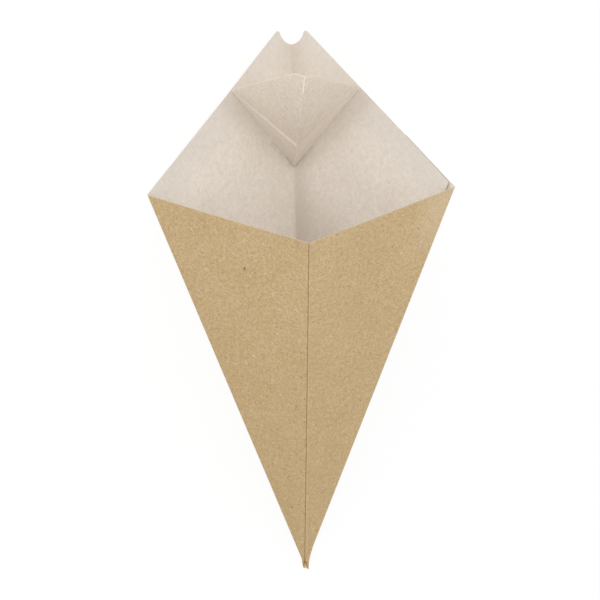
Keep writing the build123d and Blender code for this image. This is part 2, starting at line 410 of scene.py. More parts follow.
def gable_outline():
    """Angles and radii of a back panel's edge, from its centre crease to the side crease."""
    notch_level = GABLE_TOP - NOTCH_DEPTH + NOTCH_RADIUS
    reach = NOTCH_RADIUS + NOTCH_CORNER
    rise = GABLE_TOP - NOTCH_CORNER * sqrt(2) - notch_level
    peak_w = (rise + sqrt(2 * reach**2 - rise**2)) / 2
    peak_h = notch_level + rise - peak_w
    touch = atan2(peak_h - notch_level, peak_w)
    notch = np.linspace(-pi / 2, touch, NOTCH_POINTS)
    peak = np.linspace(touch + pi, pi / 4, NOTCH_CORNER_POINTS)[1:]
    w = np.concatenate([NOTCH_RADIUS * np.cos(notch), peak_w + NOTCH_CORNER * np.cos(peak)])
    h = np.concatenate([notch_level + NOTCH_RADIUS * np.sin(notch), peak_h + NOTCH_CORNER * np.sin(peak)])
    w[0] = 0.0
    angles, radii = np.arctan2(w, h), np.hypot(w, h)
    straight = np.linspace(angles[-1], PANEL_ANGLE, STRAIGHT_POINTS)[1:]
    straight_radii = GABLE_TOP / (np.sin(straight) + np.cos(straight))
    return np.concatenate([angles, straight]), np.concatenate([radii, straight_radii])


GABLE_ANGLES, GABLE_RADII = gable_outline()


def panel_of(angle):
    """Which panel an angle of the blank lies on, and the angle from that panel's centre crease."""
    turns = angle / PANEL_ANGLE
    if turns < -2:
        return "back_right", -angle - 2 * PANEL_ANGLE
    if turns < -1:
        return "back_left", angle + 2 * PANEL_ANGLE
    if turns <= 1:
        return ("front_left" if turns < 0 else "front_right"), abs(angle)
    return "flap", 2 * PANEL_ANGLE - angle


def edge_radius(angle):
    """Distance from the tip to the blank's upper edge."""
    panel, local = panel_of(angle)
    if panel.startswith("front"):
        return MOUTH_LEVEL / cos(local)
    radius = np.interp(local, GABLE_ANGLES, GABLE_RADII)
    if panel == "flap":
        radius -= FLAP_SET_BACK * smooth_rise(local, PANEL_ANGLE, PANEL_ANGLE - radians(1.5))
    return radius


def level_radius(angle, level):
    """Distance from the tip at which the blank, once folded, reaches a level."""
    across, up = FRONT_RIGHT[:2]
    local = panel_of(angle)[1]
    return level / (across[2] * sin(local) + up[2] * cos(local))


def bow_height(panel, local, radius):
    """How far the sheet stands out from its panel's plane. It is nothing along the creases."""
    name = "back_right" if panel == "flap" else panel
    share = np.clip(local / PANEL_ANGLE, 0, 1)
    gap = 0.0
    if panel == "flap":
        gap = FLAP_GAP * smooth_rise(radius, *FLAP_GAP_GROWS) * smooth_rise(share, *FLAP_GAP_SHARES)
    if panel == "back_right":
        gap = -SEAM_GAP * smooth_rise(radius, *SEAM_GAP_GROWS) * smooth_rise(share, *SEAM_GAP_SHARES)
    swell = BOWS[name] * (radius / BOW_LEVEL)**2
    start = PANELS.index(name) * RIPPLE_SHIFT
    ripple = RIPPLE_HEIGHT * np.sin(radius / RIPPLE_LENGTH + start) * np.sin(2 * pi * share + start)
    return np.sin(pi * share)**2 * (swell + ripple * np.minimum(radius / RIPPLE_LEVEL, 1)) + gap


def columns():
    """Angles at which the blank is divided, close together beside each crease."""
    beside = np.radians(BESIDE_CREASE)
    back_crease = -2 * PANEL_ANGLE
    seam = -3 * PANEL_ANGLE + SEAM_ANGLE
    flap_edge = PANEL_ANGLE + FLAP_ANGLE
    angles = [PANEL_ANGLE * crease + hand * beside for crease in (-2, -1, 0, 1) for hand in (-1, 1)]
    notch = [GABLE_ANGLES[:NOTCH_POINTS + NOTCH_CORNER_POINTS - 1], np.radians(BESIDE_NOTCH)]
    angles += [back_crease + hand * part for part in notch for hand in (-1, 1)]
    angles += [back_crease - np.radians(TOWARDS_SEAM), [seam, flap_edge]]
    angles = np.sort(np.concatenate(angles))
    angles = angles[(angles > seam - 1e-9) & (angles < flap_edge + 1e-9)]
    apart = np.diff(angles) > radians(0.006)
    return angles[np.concatenate([[True], apart])]


def growing_steps(first, growth, largest, total):
    """Fractions of total, in steps that grow from first to largest."""
    steps = [first]
    while sum(steps) < total:
        steps.append(min(steps[-1] * growth, largest))
    return np.cumsum(steps) / sum(steps)


def blank_grid(angles):
    """Points of the blank, a row of them from the tip to the upper edge for each angle.

    The nose is shorter here than in the end, because the pinch draws it out.
    """
    shorter = (NOSE_HEIGHT - NOSE_END_LEVEL) / (NOSE_HEIGHT + NOSE_PAST_TIP)
    slit_level = NOSE_HEIGHT - (NOSE_HEIGHT - SLIT_TOP) * shorter
    above_slit = np.linspace(slit_level, NOSE_HEIGHT, NOSE_ROWS)[1:]
    up_to_edge = growing_steps(first=0.8, growth=1.22, largest=4.0, total=GABLE_TOP)
    rows = []
    for angle in angles:
        torn = np.interp(angle, np.array(TORN_PLACES) * PANEL_ANGLE, TORN_SHARES)
        lowest = NOSE_END_LEVEL * (1 + TORN_HIGHER * torn)
        levels = np.concatenate([np.linspace(lowest, slit_level, SLIT_ROWS + 1), above_slit])
        low = level_radius(angle, levels)
        if angle > PANEL_ANGLE + radians(0.001):
            foot = np.interp(np.degrees(angle - PANEL_ANGLE), FLAP_FOOT_DEGREES, FLAP_FOOT_RADII)
            low = np.linspace(foot, FLAP_FOOT_TOP, len(levels))
        radii = np.concatenate([low, low[-1] + (edge_radius(angle) - low[-1]) * up_to_edge])
        panel, local = panel_of(angle)
        height = bow_height(panel, local, radii)
        rows.append(np.stack([radii * sin(angle), radii * cos(angle), height], 1))
    return np.array(rows)


def open_slit(grid, hand):
    """Parts the front crease below the slit's top, on one side of it."""
    grid = grid.copy()
    across, up = grid[:, :SLIT_ROWS, 0], grid[:, :SLIT_ROWS, 1]
    top = grid[-1 if hand < 0 else 0, SLIT_ROWS, 1]
    half = SLIT_OPENING * np.sqrt(np.clip(top - up, 0, None))
    width = up * tan(PANEL_ANGLE)
    moved = hand * (half + np.abs(across) * (1 - half / width))
    on_panel = (np.abs(across) < width) & (across * hand >= 0)
    grid[:, :SLIT_ROWS, 0] = np.where(on_panel, moved, across)
    return grid


def grid_quads(count, rows, start=0):
    """Faces of a grid whose points are numbered row after row."""
    column, row = np.meshgrid(np.arange(count - 1), np.arange(rows - 1), indexing="ij")
    corner = (start + column * rows + row).ravel()
    return np.stack([corner, corner + rows, corner + rows + 1, corner + 1], 1)


def merge_points(points, quads):
    """Points that coincide become one."""
    where, number = np.unique(np.round(points, 4), axis=0, return_index=True, return_inverse=True)[1:]
    return where, number.ravel()[quads]


def sheet_mesh(name, upper, lower, quads, uv):
    """A closed sheet: an upper skin, a lower skin and the cut edge between them.

    quads run anticlockwise, seen from above. The face attribute skin is 0 on the upper
    skin, 1 on the lower one and 2 on the cut edge.
    """
    count = len(upper)
    edges = {(int(a), int(b)) for quad in quads for a, b in zip(quad, np.roll(quad, -1))}
    rim = np.array([(b, a, a + count, b + count) for a, b in sorted(edges) if (b, a) not in edges])
    faces = np.concatenate([quads, quads[:, ::-1] + count, rim])
    mesh = bpy.data.meshes.new(name)
    mesh.from_pydata(np.concatenate([upper, lower]).tolist(), [], faces.tolist())
    skin = mesh.attributes.new("skin", "INT", "FACE")
    skin.data.foreach_set("value", np.repeat([0, 1, 2], [len(quads), len(quads), len(rim)]).astype(np.int32))
    layer = mesh.uv_layers.new(name="blank")
    corners = np.empty(len(mesh.loops), np.int32)
    mesh.loops.foreach_get("vertex_index", corners)
    layer.uv.foreach_set("vector", np.concatenate([uv, uv])[corners].astype(np.float32).ravel())
    mesh.update()
    return mesh


def score_depth(distance):
    """Depth of the scored line along the front crease."""
    return SCORE_DEPTH * np.exp(-(distance / SCORE_WIDTH)**2)


def flat_blank():
    """The blank as a closed flat sheet, slit up its front crease at the tip."""
    angles = columns()
    grid = blank_grid(angles)
    middle = int(np.argmin(np.abs(angles)))
    left = open_slit(grid[:middle + 1], -1)
    right = open_slit(grid[middle:], 1)
    rows = grid.shape[1]
    points = np.concatenate([left.reshape(-1, 3), right.reshape(-1, 3)])
    plain = np.concatenate([grid[:middle + 1].reshape(-1, 3), grid[middle:].reshape(-1, 3)])
    quads = np.concatenate([grid_quads(len(left), rows), grid_quads(len(right), rows, len(left) * rows)])
    where, quads = merge_points(points, quads)
    upper, plain = points[where], plain[where]
    lower = upper - (0, 0, BOARD)
    upper[:, 2] -= score_depth(plain[:, 0])
    return sheet_mesh("blank", upper, lower, quads, plain[:, :2])


def new_object(name, data):
    piece = bpy.data.objects.new(name, data)
    bpy.context.scene.collection.objects.link(piece)
    return piece


def finish_mesh(piece, sharp=50.0):
    """Smooth shading with crisp cut edges."""
    mesh = piece.data
    mesh.polygons.foreach_set("use_smooth", [True] * len(mesh.polygons))
    mesh.set_sharp_from_angle(angle=radians(sharp))
    mesh.update()


def make_cone(finishes):
    """Folds the blank and returns the cone as a plain mesh object."""
    sizes = {"Panel angle": PANEL_ANGLE, "Front turn": float(FRONT_TURN), "Side turn": SIDE_TURN,
             "Crease radius": CREASE_RADIUS, "Flap offset": BOARD + GLUE_LINE}
    tree, identifiers = folding_tree("fold_the_cone", sizes, finishes)
    blank = new_object("blank", flat_blank())
    modifier = blank.modifiers.new("fold", "NODES")
    modifier.node_group = tree
    for label, value in sizes.items():
        modifier[identifiers[label]] = value
    evaluated = blank.evaluated_get(bpy.context.evaluated_depsgraph_get())
    folded = bpy.data.meshes.new_from_object(evaluated)
    blank.modifiers.clear()
    bpy.data.objects.remove(blank)
    cone = new_object("folded_cone", folded)
    finish_mesh(cone)
    return cone


# The dip pocket

def round_bend(before, corner, after, radius, points):
    """Points of the arc that rounds a corner between two runs of a section."""
    one, other = before - corner, after - corner
    shorter = min(np.linalg.norm(one), np.linalg.norm(other))
    one, other = unit(one), unit(other)
    half = np.arccos(np.clip(one.dot(other), -1, 1)) / 2
    reach = min(radius / tan(half), 0.4 * shorter)
    arc_radius = reach * tan(half)
    centre = corner + unit(one + other) * (arc_radius / sin(half))
    start, end = unit(corner + one * reach - centre), unit(corner + other * reach - centre)
    span = np.arccos(np.clip(start.dot(end), -1, 1))
    turns = span * np.linspace(0, 1, points)
    return [centre + arc_radius * (sin(span - t) * start + sin(t) * end) / sin(span) for t in turns]


def between(start, end, points):
    return [start + (end - start) * share for share in np.linspace(0, 1, points)]


class PocketSheet:
    """Corner points of the pocket's left half, in the standing cone's frame."""

    def __init__(self):
        across, up = BACK_LEFT[:2]
        reach = POCKET_SIDE * sin(POCKET_FOLD)
        inner_gable = GABLE_TOP - HOLLOW_LEVEL * (up[2] + across[2])
        corner_h = inner_gable - reach
        self.bottom_h = corner_h - POCKET_SIDE * cos(POCKET_FOLD)
        self.corner = HOLLOW_POINT + across * reach + up * corner_h
        self.bottom = HOLLOW_POINT + up * self.bottom_h
        self.tab_top = HOLLOW_POINT + up * (self.bottom_h + TAB_HEIGHT)
        far_corner = self.corner * (-1, 1, 1)
        mirror = unit(np.cross(self.corner - self.bottom, far_corner - self.bottom))
        centre = up - mirror * (2 * up.dot(mirror))
        forward = unit(np.cross((1, 0, 0), centre))
        forward = forward * (-1 if forward[1] > 0 else 1)
        self.bend = self.bottom + centre * BAND_HEIGHT + forward * BELLY
        flat_rise = POCKET_SIDE * cos(POCKET_FOLD) + reach * tan(POCKET_TOP_SLOPE)
        hub = self.bottom + centre * (flat_rise - POCKET_TOP_RADIUS / cos(POCKET_TOP_SLOPE))
        top = hub + centre * POCKET_TOP_RADIUS
        self.rise = unit(top - self.bend)
        self.sideways = self.corner - self.bend
        self.sideways = unit(self.sideways - self.rise * self.sideways.dot(self.rise))
        self.hub = top - self.rise * POCKET_TOP_RADIUS
        to_corner = self.corner - self.hub
        span = sqrt(to_corner.dot(to_corner) - POCKET_TOP_RADIUS**2)
        turn = atan2(to_corner.dot(self.sideways), to_corner.dot(self.rise))
        touch = turn - atan(span / POCKET_TOP_RADIUS)
        self.arc_length = POCKET_TOP_RADIUS * touch
        self.edge_length = self.arc_length + span

    def edge(self, share):
        """A point of the face's top edge, from the centre line to the corner."""
        walked = share * self.edge_length
        angle = min(walked, self.arc_length) / POCKET_TOP_RADIUS
        around = self.rise * cos(angle) + self.sideways * sin(angle)
        point = self.hub + around * POCKET_TOP_RADIUS
        past_arc = max(walked - self.arc_length, 0.0)
        return point + (self.corner - point) * past_arc / (self.edge_length - self.arc_length)

    def section(self, share, trim=0.0):
        """The sheet's path from the tab's edge, round both folds, to the face's top edge."""
        tab = self.tab_top + (self.corner - self.tab_top) * share
        fold = self.bottom + (self.corner - self.bottom) * share
        bend = self.bend + (self.corner - self.bend) * share
        lowered = trim * smooth_rise(share, *TRIM_GROWS) * (1 - share**2)
        edge = self.edge(share) - self.rise * lowered
        fold_arc = round_bend(tab, fold, bend, POCKET_FOLD_RADIUS, FOLD_POINTS)
        bend_arc = round_bend(fold, bend, edge, POCKET_BEND_RADIUS, BEND_POINTS)
        band = between(fold_arc[-1], bend_arc[0], BAND_POINTS)
        face = between(bend_arc[-1], edge, FACE_POINTS)
        tab = between(tab, fold_arc[0], TAB_POINTS)
        return np.array([*tab, *fold_arc[1:], *band[1:], *bend_arc[1:], *face[1:]])


def follow_panel(points, name, panel):
    """Moves the tab with the bow of the back panel it is glued to, and the rest as its fold."""
    across, up, out = panel
    moved = points.copy()
    for column in moved:
        w, h = (column - HOLLOW_POINT) @ across, (column - HOLLOW_POINT) @ up
        w[FOLD_ROW:], h[FOLD_ROW:] = w[FOLD_ROW], h[FOLD_ROW]
        height = bow_height(name, np.arctan2(w, h), np.hypot(w, h))
        column += height[:, None] * out
    return moved


def skin_normals(grid):
    """Unit normals of a grid of points, turned towards the pocket's cavity."""
    normals = np.cross(np.gradient(grid, axis=0), np.gradient(grid, axis=1))
    normals /= np.linalg.norm(normals, axis=2, keepdims=True)
    return normals * np.sign(normals[len(grid) // 2, -3, 1])


def pocket_half(sheet, shares, trim):
    """Outer and inner skin of the pocket's left half, its face cut lower by a trim."""
    outer = np.array([sheet.section(share, trim) for share in shares])
    normals = skin_normals(outer)
    inner = outer + normals * BOARD
    level = normals[0] * (0, 1, 1)
    inner[0] = outer[0] + level * (BOARD / np.sum(level**2, axis=1, keepdims=True))
    return outer, inner


def pocket_skins():
    """Both skins of the whole pocket, each a grid of points from the left corner to the right."""
    sheet = PocketSheet()
    shares = np.array(POCKET_SHARES)
    near_middle = 1 - np.concatenate([shares[::-1], shares[1:]])
    mirrored = np.array([-1, 1, 1])
    clearance = GLUE_LINE * -BACK_LEFT[2]
    skins = []
    for left, right in zip(pocket_half(sheet, shares, 0.0), pocket_half(sheet, shares, RIGHT_TRIM)):
        left = follow_panel(left, "back_left", BACK_LEFT) + clearance
        right = follow_panel(right * mirrored, "back_right", BACK_RIGHT) + clearance * mirrored
        left[0, :, 0] = 0.0
        both = np.concatenate([left[::-1], right[1:]])
        last_row = both.shape[1] - 1
        up_the_face = np.clip(np.arange(last_row + 1) - BEND_ROW, 0, None) / (last_row - BEND_ROW)
        both[:, :, 0] += TOP_LEANS * near_middle[:, None] * up_the_face
        skins.append(both)
    return skins


def make_pocket():
    """Folds the pocket and returns it, with its face's height above the bend at the middle."""
    outer, inner = pocket_skins()
    count, rows = outer.shape[:2]
    middle = count // 2
    walked = np.cumsum(np.linalg.norm(np.diff(outer, axis=1, prepend=outer[:, :1]), axis=2), axis=1)
    from_fold, from_bend = walked - walked[:, FOLD_ROW, None], walked - walked[:, BEND_ROW, None]
    away = np.linalg.norm(outer - outer[middle], axis=2)
    sideways = away * np.sign(np.arange(count) - middle)[:, None]
    uv = np.stack([sideways, from_bend], 2).reshape(-1, 2)

    # The outer skin's faces have to look forward, away from the cone's back
    quads = grid_quads(count, rows)
    corner, beside, above = outer[middle, -3], outer[middle + 1, -3], outer[middle, -2]
    if np.cross(beside - corner, above - corner)[1] > 0:
        quads = quads[:, ::-1]
    upper, lower = lay_down(outer.reshape(-1, 3)), lay_down(inner.reshape(-1, 3))
    mesh = sheet_mesh("folded_pocket", upper, lower, quads, uv)
    way = mesh.attributes.new("from_fold", "FLOAT", "POINT")
    way.data.foreach_set("value", np.tile(from_fold.ravel(), 2).astype(np.float32))
    skin_of_face = np.empty(len(mesh.polygons), np.int32)
    mesh.attributes["skin"].data.foreach_get("value", skin_of_face)
    mesh.polygons.foreach_set("material_index", skin_of_face)
    pocket = new_object("folded_pocket", mesh)
    finish_mesh(pocket)
    return pocket, float(from_bend[middle, -1])


# Materials

def colour(red, green, blue):
    """A colour given as it looks on a screen, from 0 to 255, as a linear one."""
    shares = [value / 255 for value in (red, green, blue)]
    return tuple(s / 12.92 if s <= 0.04045 else ((s + 0.055) / 1.055)**2.4 for s in shares) + (1.0,)


# Shades of the board's brown outside, painted shades and a painted highlight among them
BROWNS = {
    "darkest": colour(166, 134, 84), "lightest": colour(211, 190, 152),
    "warm fibre": colour(181, 136, 78), "dark hair": colour(160, 118, 68),
    "shade near the tip": colour(166, 138, 92), "paler corner": colour(222, 206, 180),
    "pale hair": colour(224, 208, 182), "warm dot": colour(160, 108, 52),
    "fleck": colour(236, 224, 200), "speck": colour(112, 76, 42),
    "large fleck": colour(238, 226, 202), "large speck": colour(112, 66, 28),
    "score": colour(132, 92, 46), "highlight beside the score": colour(214, 196, 160),
    "bruise": colour(132, 92, 48), "worn crease": colour(216, 196, 158),
}

# Shades of the pale paper inside the cone and on the pocket, painted shades and painted highlights among
# them
CREAMS = {
    "soft hair": colour(205, 190, 172), "pale hair": colour(243, 237, 228),
    "valley": colour(186, 173, 159), "crease": colour(168, 152, 134),
    "shade_beside_pocket": colour(184, 166, 146), "shade near the edge": colour(198, 192, 184),
    "shade deep inside": colour(188, 176, 164), "tan at the tip": colour(226, 196, 140),
    "rubbed and highlight": colour(253, 248, 241), "fold highlight": colour(255, 252, 246),
    "crack": colour(255, 251, 244), "dark streak": colour(202, 182, 160),
    "dim line": colour(196, 180, 162),
}
LINING_SHADES = colour(216, 205, 192), colour(235, 227, 217)
POCKET_SHADES = colour(220, 206, 190), colour(239, 229, 216)

# Shades of the cut edges, each the dark fibres and the light ones, and of their marks, one of them a painted
# shade
BROWN_EDGE_SHADES = colour(180, 162, 135), colour(206, 191, 166)
CREAM_EDGE_SHADES = colour(212, 199, 182), colour(236, 227, 213)
EDGE_STAIN = colour(166, 124, 70)
EDGE_FLAP_SHADE = colour(128, 116, 104)
EDGE_DULL = colour(196, 183, 166)

# Places on the blank of the board's largest dark specks and pale flecks, and their sizes
DARK_SPECKS = [((-33.9, 163.2), 1.7), ((-7.6, 34.7), 1.1), ((23.6, 155.6), 0.9),
               ((-20.1, 179.1), 0.7), ((-37.4, 139.8), 0.8), ((-17.0, 136.2), 0.8),
               ((18.4, 174.9), 0.7), ((12.1, 169.4), 0.7), ((65.4, 171.9), 0.7)]
PALE_FLECKS = [((-23.8, 179.4), 0.9), ((-16.4, 133.0), 0.9), ((-30.8, 159.8), 0.8),
               ((-29.0, 116.3), 1.0), ((9.4, 161.0), 0.8), ((-32.9, 110.7), 0.9)]

# Ends of each faint scratch on the pocket's faces, from the middle of its bend, and its strength
POCKET_SCRATCHES = [((-15.0, 27.0), (-4.0, 15.0), 0.5), ((-19.0, 20.0), (-10.0, 10.0), 0.35),
                    ((6.0, 19.0), (13.0, 28.0), 0.5), ((10.0, 17.0), (19.0, 26.0), 0.4),
                    ((4.0, 8.0), (17.0, 20.0), 0.45), ((12.0, 4.0), (26.0, 9.0), 0.35)]


class Finish(Graph):
    """A material around one Principled shader, with the patterns that board shows.

    Its paper is the colour so far. Each tint lays one more shade over it.
    """

    def __init__(self, name, gloss):
        self.material = bpy.data.materials.new(name)
        self.material.use_nodes = True
        super().__init__(self.material.node_tree)
        self.shader = self.tree.nodes.new("ShaderNodeBsdfPrincipled")
        output = self.tree.nodes.new("ShaderNodeOutputMaterial")
        self.tree.links.new(self.shader.outputs[0], output.inputs["Surface"])
        self.shader.inputs["Specular IOR Level"].default_value = gloss
        self.flat = self.node("ShaderNodeUVMap", {"uv_map": "blank"})
        self.paper = None

    def finished(self, roughness, height, depth):
        """Feeds the shader and returns the material. The height is in shares of the depth in mm."""
        inputs = {"Height": height, "Strength": 1.0, "Distance": depth * MM}
        feeds = {"Base Color": self.paper, "Roughness": roughness,
                 "Normal": self.node("ShaderNodeBump", None, inputs)}
        for label, value in feeds.items():
            self.tree.links.new(value.socket, self.shader.inputs[label])
        return self.material

    def mix(self, share, one, other):
        inputs = {0: share, 6: one, 7: other}
        return self.node("ShaderNodeMix", {"data_type": "RGBA"}, inputs, 2)

    def start(self, share, dark, light):
        """The paper's first colour, between two shades."""
        self.paper = self.mix(self.clamp(share, 0.0, 1.0), dark, light)

    def tint(self, share, shade):
        """Lays a shade over the paper, by a share that varies."""
        self.paper = self.mix(share, self.paper, shade)

    def from_crease(self, panels):
        """How far right a place of the blank lies of the crease, counted from the front one."""
        angle = PANEL_ANGLE * panels
        return self.dot(self.flat, (cos(angle), -sin(angle), 0.0))

    def along_crease(self, panels):
        """How far up a place of the blank lies, measured along a crease."""
        angle = PANEL_ANGLE * panels
        return self.dot(self.flat, (sin(angle), cos(angle), 0.0))

    def noise(self, where, size, detail=2.0, rough=0.5, warp=0.0):
        """Cloudy noise about 0, with blotches of a size in millimetres."""
        inputs = {"Vector": where, "Scale": 1 / size, "Detail": detail, "Roughness": rough,
                  "Distortion": warp}
        return self.node("ShaderNodeTexNoise", {"noise_dimensions": "3D"}, inputs) - 0.5

    def hairs(self, size, width, amount, shift):
        """Short curved hairs: stretches of the contour lines of a smooth noise."""
        contours = self.noise(self.flat + shift, size, detail=1.0, warp=0.6)
        hair = self.step(self.absolute(contours), width, 0.0)
        patches = self.noise(self.flat + (7.3, 3.1, shift[0]), size * 0.45, detail=1.0)
        return hair * self.step(patches, 0.14 - amount, 0.24 - amount)

    def specks(self, spacing, size, share, shift):
        """Scattered specks, on that share of a grid of cells."""
        inputs = {"Vector": self.flat + shift, "Scale": 1 / spacing, "Randomness": 1.0}
        settings = {"voronoi_dimensions": "3D"}
        distance, chances = self.node("ShaderNodeTexVoronoi", settings, inputs, "all")[:2]
        chance, largeness = self.separate(chances)[:2]
        chosen = self.step(chance, share, share * 0.9)
        reach = (largeness * 0.7 + 0.3) * (size / spacing)
        return chosen * self.step(distance / reach, 1.0, 0.55)

    def spots(self, places):
        """Single specks at chosen places of the blank, each with its size."""
        found = None
        for (across, up), size in places:
            away = self.length((self.flat - (across, up, 0.0)) * (1.0, 0.75, 1.0))
            spot = self.step(away, size / 2, size / 5)
            found = spot if found is None else self.maths("MAXIMUM", found, spot)
        return found

    def line(self, distance, width, soft=0.5):
        """A line where a distance in millimetres is about 0."""
        return self.step(self.absolute(distance), width / 2, width / 2 * (1 - soft))

    def scratch(self, start, end, width):
        """A thin straight mark between two places of the blank."""
        run = (end[0] - start[0], end[1] - start[1], 0.0)
        away = self.flat - (*start, 0.0)
        share = self.clamp(self.dot(away, run) / float(np.dot(run, run)), 0.0, 1.0)
        return self.step(self.length(away - self.combine(*run) * share), width / 2, width / 6)


def brown_board():
    """Outside of the board: brown fibres of uneven shade, with dark specks and pale flecks."""
    skin = Finish("brown_board", gloss=0.35)
    across, up = skin.separate(skin.flat)[:2]
    from_tip = skin.length(skin.flat)
    wobble = skin.noise(skin.flat, 9.0) * 0.16

    # Fibres
    cloud = skin.noise(skin.flat, 22.0, detail=3.0, rough=0.55)
    mottle = skin.noise(skin.flat, 1.7, detail=4.0, rough=0.68, warp=0.5)
    grain = skin.noise(skin.flat, 0.42, rough=0.7)
    fibre = skin.noise(skin.flat + (3.0, 8.0, 2.0), 0.8, rough=0.7)
    shade = 0.5 + cloud * 0.24 + mottle * 0.85 + grain * 1.3 + fibre * 1.2
    skin.start(shade, BROWNS["darkest"], BROWNS["lightest"])
    warm = skin.noise(skin.flat + (9.0, 2.0, 5.0), 1.3, detail=3.0, rough=0.7)
    skin.tint(skin.step(warm, 0.04, 0.22) * 0.62, BROWNS["warm fibre"])
    dark_hair = skin.hairs(size=2.4, width=0.06, amount=0.08, shift=(0.0, 0.0, 4.0)) * 0.7
    skin.tint(dark_hair, BROWNS["dark hair"])

    # Painted shade, darker towards the tip, and paler at the left mouth corner
    skin.tint(skin.step(from_tip, 190.0, 30.0) * 0.14, BROWNS["shade near the tip"])
    corner = skin.step(-skin.from_crease(1), 28.0, 4.0) * skin.step(from_tip, 160.0, 200.0)
    skin.tint(corner * 0.26, BROWNS["paler corner"])

    # Hairs, dots, flecks and specks
    pale_hair = skin.hairs(size=2.8, width=0.045, amount=0.06, shift=(31.0, 12.0, 9.0)) * 0.45
    skin.tint(pale_hair, BROWNS["pale hair"])
    dots = skin.specks(spacing=2.6, size=0.6, share=0.3, shift=(14.0, 3.0, 6.0))
    skin.tint(dots * 0.5, BROWNS["warm dot"])
    flecks = skin.specks(spacing=4.0, size=0.42, share=0.10, shift=(5.0, 9.0, 1.0))
    skin.tint(flecks * 0.7, BROWNS["fleck"])
    specks = skin.specks(spacing=6.0, size=0.6, share=0.16, shift=(2.0, 17.0, 3.0))
    skin.tint(specks * 0.8, BROWNS["speck"])
    skin.tint(skin.spots(PALE_FLECKS) * 0.6, BROWNS["large fleck"])
    skin.tint(skin.spots(DARK_SPECKS) * 0.8, BROWNS["large speck"])

    # The score in the front crease, with painted shade in its groove and a painted highlight on one side,
    # bruised where it splits, and the three worn creases
    on_front = skin.step(up, 0.5, 2.0)
    score = skin.line(across + wobble, 0.66, 0.6) * on_front
    skin.tint(score * (0.72 + grain), BROWNS["score"])
    bruise = skin.step(from_tip, 7.0, 3.5) * skin.line(across, 3.0, 0.9)
    skin.tint(bruise * 0.55, BROWNS["bruise"])
    beside = skin.line(across + wobble - 0.62, 0.75, 0.8) * on_front
    skin.tint(beside * 0.2, BROWNS["highlight beside the score"])
    left, back, right = [skin.line(skin.from_crease(n) + wobble, 1.5, 0.9) for n in (-1, -2, 1)]
    worn = skin.maths("MAXIMUM", skin.maths("MAXIMUM", back, left), right)
    skin.tint(worn * (0.35 + mottle), BROWNS["worn crease"])

    roughness = 0.74 + mottle * 0.25 - pale_hair * 0.1
    height = mottle * 0.5 + grain * 0.6 + (pale_hair - dark_hair) * 0.5 - score * 1.5
    return skin.finished(roughness, height, depth=0.06)


class Lining(Finish):
    """The pale side of the board: smooth off-white paper with faint soft fibres."""

    def __init__(self, name, shades):
        super().__init__(name, gloss=0.4)
        cloud = self.noise(self.flat, 18.0, detail=3.0)
        self.mottle = self.noise(self.flat, 2.4, detail=3.0, rough=0.6, warp=0.5)
        self.grain = self.noise(self.flat, 0.6, rough=0.55)
        shade = 0.5 + cloud * 0.7 + self.mottle * 1.5 + self.grain * 1.4
        self.start(shade, *shades)
        soft_hair = self.hairs(size=4.6, width=0.04, amount=0.05, shift=(11.0, 2.0, 6.0)) * 0.4
        self.tint(soft_hair, CREAMS["soft hair"])
        pale_hair = self.hairs(size=3.8, width=0.035, amount=0.04, shift=(3.0, 21.0, 2.0)) * 0.4
        self.tint(pale_hair, CREAMS["pale hair"])
        self.height = self.mottle * 0.5 + self.grain * 0.5 + pale_hair * 0.4

    def done(self):
        return self.finished(0.62 + self.mottle * 0.2, self.height, depth=0.04)


def cone_lining():
    """Inside of the cone, with painted shade in the back crease's valley, beside the pocket, along the
    gable's edge and deep inside, and darker at the tip.
    """
    skin = Lining("cream_lining", LINING_SHADES)
    from_tip = skin.length(skin.flat)
    from_back, along_back = skin.from_crease(-2), skin.along_crease(-2)
    across = from_back + skin.noise(skin.flat, 12.0) * 0.3

    # Painted shade in the valley of the back crease, wider in the gable on the left, and a darker painted
    # line along the crease
    right_side, left_side = skin.step(across, 0.35, 0.0), skin.step(across, -0.35, 0.0)
    right = skin.maths("MINIMUM", skin.step(across, -14.0, 0.0), right_side)
    left = skin.maths("MINIMUM", skin.step(across, 4.0, 0.0), left_side)
    gable = skin.step(along_back, 226.0, 240.0)
    left_gable = skin.step(across, 15.0, 0.0) * left_side * gable
    left = skin.maths("MAXIMUM", left * 0.14, left_gable * 0.24)
    skin.tint(skin.maths("MAXIMUM", right * 0.36, left), CREAMS["valley"])
    skin.tint(skin.line(across, 0.8, 1.0) * 0.3, CREAMS["crease"])

    # Painted shadow beside the pocket's folds, and painted shade along the gable's edge
    above_fold = along_back - PocketSheet().bottom_h
    outside_fold = (skin.absolute(from_back) - above_fold) * sqrt(0.5)
    shade_beside_pocket = skin.step(outside_fold, 13.0, 5.0) * skin.step(outside_fold, -3.0, 0.0)
    skin.tint(shade_beside_pocket * (skin.step(above_fold, 0.0, 34.0) * 0.28), CREAMS["shade_beside_pocket"])
    from_edge = (GABLE_TOP - along_back - skin.absolute(from_back)) * sqrt(0.5)
    skin.tint(skin.step(from_edge, 20.0, 0.0) * 0.4, CREAMS["shade near the edge"])

    # Painted shade deep inside, and tan at the tip
    deep = skin.step(across, -40.0, -2.0) * skin.step(across, 2.0, -2.0)
    skin.tint(deep * skin.step(from_tip, 195.0, 165.0) * 0.42, CREAMS["shade deep inside"])
    skin.tint(skin.step(from_tip, 9.0, 6.0) * 0.9, CREAMS["tan at the tip"])
    return skin.done()


